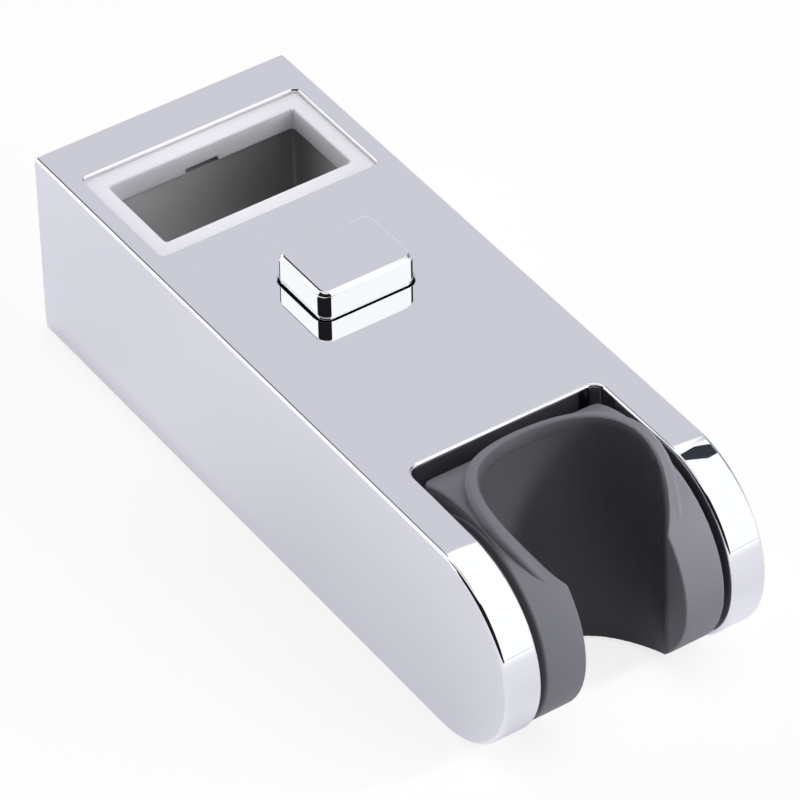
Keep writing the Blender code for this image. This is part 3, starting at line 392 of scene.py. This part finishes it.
def buildHandlingGroup():
    inputs = (("Smudge Scale", handling["smudgeScale"]), ("Hairline Scale", handling["hairlineScale"]))
    group, given, made = startGroup("handlingMarks", inputs, ("Smudges", "Hairlines"))
    where = addNode(group, "ShaderNodeTexCoord", (-900, 300)).outputs["Object"]
    size, detail = given.outputs["Smudge Scale"], handling["smudgeDetail"]
    smudges = noise(group, where, size, detail, (-500, 200), handling["smudgeRoughness"])
    smudged = smoothStep(group, smudges, handling["smudgeFrom"], handling["smudgeTo"], (-200, 200))
    group.links.new(smudged, made.inputs["Smudges"])
    stretch = addNode(group, "ShaderNodeMapping", (-700, -100))
    stretch.inputs["Rotation"].default_value = (0.0, 0.0, handling["hairlineTurn"])
    stretch.inputs["Scale"].default_value = (1.0, handling["hairlineStretch"], 1.0)
    group.links.new(where, stretch.inputs["Vector"])
    size, detail = given.outputs["Hairline Scale"], handling["hairlineDetail"]
    lines = noise(group, stretch.outputs[0], size, detail, (-500, -100))
    lined = smoothStep(group, lines, handling["hairlineFrom"], handling["hairlineTo"], (-200, -100))
    group.links.new(lined, made.inputs["Hairlines"])
    return group


moulding = {
    "grainScale": 2600.0, "grainDetail": 3.0, "grainRoughness": 0.65,
    "flowScale": 90.0, "flowDetail": 3.0, "flowRoughness": 0.55,
}


def buildMouldGroup():
    inputs = (("Grain Scale", moulding["grainScale"]), ("Flow Scale", moulding["flowScale"]))
    group, given, made = startGroup("mouldGrain", inputs, ("Grain", "Flow"))
    where = addNode(group, "ShaderNodeTexCoord", (-900, 300)).outputs["Object"]
    for name, height in (("Grain", 200), ("Flow", -100)):
        detail, roughness = moulding[name.lower() + "Detail"], moulding[name.lower() + "Roughness"]
        pattern = noise(group, where, given.outputs[name + " Scale"], detail, (-500, height), roughness)
        group.links.new(pattern, made.inputs[name])
    return group


handlingMarks = buildHandlingGroup()
mouldGrain = buildMouldGroup()


def useGroup(tree, group, place, **values):
    node = addNode(tree, "ShaderNodeGroup", place, node_tree=group)
    for label, value in values.items():
        node.inputs[label.replace("_", " ")].default_value = value
    return node


# How far a point lies within a leaning cone, for the painted shade that darkens the socket's bore and the
# rail passage's corner

def paintedShadeMask(tree, spot, row):
    where = addNode(tree, "ShaderNodeTexCoord", (-1900, row)).outputs["Object"]
    moved = addNode(tree, "ShaderNodeVectorMath", (-1700, row), operation="SUBTRACT")
    tree.links.new(where, moved.inputs[0])
    moved.inputs[1].default_value = spot["place"]
    lean = math.radians(spot["lean"])
    deep = math.cos(lean) * spot["stretch"]
    axes = (1.0, 0.0, 0.0), (0.0, deep, -math.sin(lean)), (0.0, math.sin(lean), math.cos(lean))
    lengths = []
    for number, axis in enumerate(axes):
        place = (-1500, row - 150 * number)
        along = addNode(tree, "ShaderNodeVectorMath", place, operation="DOT_PRODUCT")
        tree.links.new(moved.outputs[0], along.inputs[0])
        along.inputs[1].default_value = axis
        lengths.append(along.outputs["Value"])
    flat = addNode(tree, "ShaderNodeCombineXYZ", (-1300, row))
    tree.links.new(lengths[0], flat.inputs["X"])
    tree.links.new(lengths[1], flat.inputs["Y"])
    reach = addNode(tree, "ShaderNodeVectorMath", (-1150, row), operation="LENGTH")
    tree.links.new(flat.outputs[0], reach.inputs[0])
    cone = mathNode(tree, "MULTIPLY", lengths[2], spot["taper"], (-1150, row - 200))
    edge = mathNode(tree, "ADD", cone, spot["radius"], (-1000, row - 200))
    past = mathNode(tree, "SUBTRACT", reach.outputs["Value"], edge, (-850, row))
    return smoothStep(tree, past, spot["soft"][0], spot["soft"][1], (-700, row))


plainFinish = {"ior": 1.46, "specular": 0.5}  # for a finish that names no other values


def finishMaterial(name, ownLook):
    look = {**plainFinish, **ownLook}
    material = bpy.data.materials.new(name)
    tree = newTree(material)
    shader = addNode(tree, "ShaderNodeBsdfPrincipled", (300, 0))
    shader.inputs["Metallic"].default_value = look["metallic"]
    shader.inputs["IOR"].default_value = look["ior"]
    shader.inputs["Specular IOR Level"].default_value = look["specular"]
    if "depth" in look:
        shader.inputs["Subsurface Weight"].default_value = look["depth"]
        shader.inputs["Subsurface Radius"].default_value = look["depthColour"]
        shader.inputs["Subsurface Scale"].default_value = look["depthReach"]
    scales = {"Grain_Scale": look["grainScale"], "Flow_Scale": look["flowScale"]}
    mould = useGroup(tree, mouldGrain, (-700, 0), **scales)
    marks = useGroup(tree, handlingMarks, (-700, -300))
    shade = mixColour(tree, mould.outputs["Flow"], look["colour"], look["second"], (-300, 200))
    # painted shade: a darker colour mixed in where the cone mask reaches
    if "paintedShade" in look:
        inside = paintedShadeMask(tree, look["paintedShade"], 600)
        shade = mixColour(tree, inside, shade, look["paintedShade"]["colour"], (-100, 300))
    tree.links.new(shade, shader.inputs["Base Color"])
    smudged = mathNode(tree, "MULTIPLY", marks.outputs["Smudges"], look["smudge"], (-450, -300))
    lined = mathNode(tree, "MULTIPLY", marks.outputs["Hairlines"], look["hairline"], (-450, -450))
    added = mathNode(tree, "ADD", smudged, lined, (-300, -300))
    rough = mathNode(tree, "ADD", added, look["roughness"], (-150, -300), clamp=True)
    tree.links.new(rough, shader.inputs["Roughness"])
    bump = addNode(tree, "ShaderNodeBump", (50, -200))
    bump.inputs["Strength"].default_value = look["bump"]
    bump.inputs["Distance"].default_value = look["bumpDepth"]
    tree.links.new(mould.outputs["Grain"], bump.inputs["Height"])
    tree.links.new(bump.outputs[0], shader.inputs["Normal"])
    output = addNode(tree, "ShaderNodeOutputMaterial", (600, 0))
    tree.links.new(shader.outputs[0], output.inputs["Surface"])
    return material


finishes = {
    "chrome_plate": {
        "colour": (0.940, 0.945, 0.955), "second": (0.930, 0.937, 0.950), "metallic": 1.0,
        "roughness": 0.012, "smudge": 0.02, "hairline": 0.02,
        "grainScale": 180.0, "flowScale": 25.0, "bump": 0.04, "bumpDepth": 0.00002,
    },
    "grey_plastic": {
        "colour": (0.196, 0.194, 0.224), "second": (0.208, 0.207, 0.232), "metallic": 0.0,
        "roughness": 0.42, "smudge": 0.06, "hairline": 0.05, "specular": 0.32,
        "grainScale": 3200.0, "flowScale": 70.0, "bump": 0.25, "bumpDepth": 0.00002,
        "paintedShade": {  # the socket: painted shade, a darker colour down its bore
            "place": (0.0, -0.0901, 0.01625), "lean": 9.9, "stretch": 1.0, "radius": 0.011, "taper": 0.084,
            "soft": (0.0008, 0.0001), "colour": (0.080, 0.078, 0.089),
        },
    },
    "white_plastic": {
        "colour": (0.88, 0.875, 0.93), "second": (0.86, 0.855, 0.91), "metallic": 0.0,
        "roughness": 0.32, "smudge": 0.05, "hairline": 0.04,
        "grainScale": 1800.0, "flowScale": 60.0, "bump": 0.12, "bumpDepth": 0.00001,
        "depth": 0.6, "depthColour": (1.0, 1.0, 1.0), "depthReach": 0.0015,
    },
    "dark_plastic": {
        "colour": (0.60, 0.60, 0.60), "second": (0.64, 0.64, 0.64), "metallic": 0.0,
        "roughness": 0.35, "smudge": 0.06, "hairline": 0.05,
        "grainScale": 2600.0, "flowScale": 60.0, "bump": 0.25, "bumpDepth": 0.00002,
        "paintedShade": {  # painted shade, darker towards the passage's far right corner
            "place": (0.0162, 0.0078, 0.0), "lean": 0.0, "stretch": 2.2, "radius": 0.0, "taper": 0.0,
            "soft": (0.030, 0.004), "colour": (0.22, 0.22, 0.22),
        },
    },
    "acetal": {
        "colour": (0.66, 0.65, 0.61), "second": (0.62, 0.61, 0.57), "metallic": 0.0,
        "roughness": 0.38, "smudge": 0.05, "hairline": 0.05,
        "grainScale": 2200.0, "flowScale": 60.0, "bump": 0.15, "bumpDepth": 0.00001,
    },
    "brake_rubber": {
        "colour": (0.028, 0.028, 0.028), "second": (0.036, 0.036, 0.036), "metallic": 0.0,
        "roughness": 0.72, "smudge": 0.10, "hairline": 0.02,
        "grainScale": 2800.0, "flowScale": 90.0, "bump": 0.45, "bumpDepth": 0.00003,
    },
    "spring_steel": {
        "colour": (0.56, 0.56, 0.57), "second": (0.50, 0.50, 0.51), "metallic": 1.0,
        "roughness": 0.22, "smudge": 0.10, "hairline": 0.12,
        "grainScale": 1500.0, "flowScale": 200.0, "bump": 0.20, "bumpDepth": 0.00001,
    },
}
materials = {name: finishMaterial(name, look) for name, look in finishes.items()}
print("finishes made:", len(materials))


# Skins: each node's own shape with its faces joined and its curves shaded as curves

skin = {
    "weld": 0.000002,
    "sharpAngle": 50.0,
    "flatAngle": 0.2,
    "thinFaceAngle": 90.0,  # for a face without a normal, so that it joins no other
}


# Spreads the guide's flange until it meets its pocket, as the pressed-in insert does

flange = {"fromX": 0.0178, "fromY": 0.0099, "widen": 0.00027}


def widenFlange(builder):
    for vert in builder.verts:
        if abs(vert.co.x) > flange["fromX"]:
            vert.co.x += math.copysign(flange["widen"], vert.co.x)
        if abs(vert.co.y) > flange["fromY"]:
            vert.co.y += math.copysign(flange["widen"], vert.co.y)


# The area of the flat region that each face belongs to

def flatRegions(builder):
    flat = math.radians(skin["flatAngle"])
    unknown = math.radians(skin["thinFaceAngle"])
    region = {}
    areas = []
    for start in builder.faces:
        if start in region:
            continue
        label = len(areas)
        area = 0.0
        waiting = [start]
        region[start] = label
        while waiting:
            face = waiting.pop()
            area += face.calc_area()
            for edge in face.edges:
                for other in edge.link_faces:
                    if other not in region and face.normal.angle(other.normal, unknown) < flat:
                        region[other] = label
                        waiting.append(other)
        areas.append(area)
    return {face.index: areas[label] for face, label in region.items()}


# A normal for each face corner, averaged over the faces round it up to the next sharp edge

def fanNormals(builder):
    areas = flatRegions(builder)
    sharp = math.radians(skin["sharpAngle"])
    unknown = math.radians(skin["thinFaceAngle"])
    normals = {}
    for vert in builder.verts:
        loops = {loop.face: loop for loop in vert.link_loops}
        unseen = set(loops)
        while unseen:
            fan = [unseen.pop()]
            for face in fan:
                for edge in loops[face].edge, loops[face].link_loop_prev.edge:
                    for other in edge.link_faces:
                        if other in unseen and face.normal.angle(other.normal, unknown) < sharp:
                            unseen.discard(other)
                            fan.append(other)
            total = Vector()
            for face in fan:
                total += face.normal * areas[face.index] * loops[face].calc_angle()
            for face in fan:
                normals[loops[face].index] = total.normalized()
    return [normals[index] for index in range(len(normals))]


# Each spring's skin gets a mesh of its own; the joint and along values listed here are not read

springs = {
    "button_spring": {"joint": "button_press", "along": 2},
    "brake_spring_left": {"joint": "brake_release", "along": 1},
    "brake_spring_right": {"joint": "brake_release", "along": 1},
}


def shortenSpring(item):
    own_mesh(item)


def skinOf(node):
    source = nodes[node]
    mesh = source.data.copy()
    builder = bmesh.new()
    builder.from_mesh(mesh)
    bmesh.ops.remove_doubles(builder, verts=builder.verts, dist=skin["weld"])
    if node.endswith("rail_guide"):
        widenFlange(builder)
    for face in builder.faces:
        face.smooth = True
    builder.normal_update()
    builder.faces.index_update()
    loopCount = 0
    for face in builder.faces:
        for loop in face.loops:
            loop.index = loopCount
            loopCount += 1
    normals = fanNormals(builder)
    builder.to_mesh(mesh)
    builder.free()
    mesh.normals_split_custom_set([tuple(normal) for normal in normals])
    mesh.materials.clear()
    mesh.materials.append(materials[slotOfNode[node]])
    item = bpy.data.objects.new(node + "_skin", mesh)
    bpy.context.scene.collection.objects.link(item)
    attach(item, bodyOfNode[node])
    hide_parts(node)
    if node in springs:
        shortenSpring(item)


for node in sorted(nodes):
    skinOf(node)
print("skins made:", len(nodes))
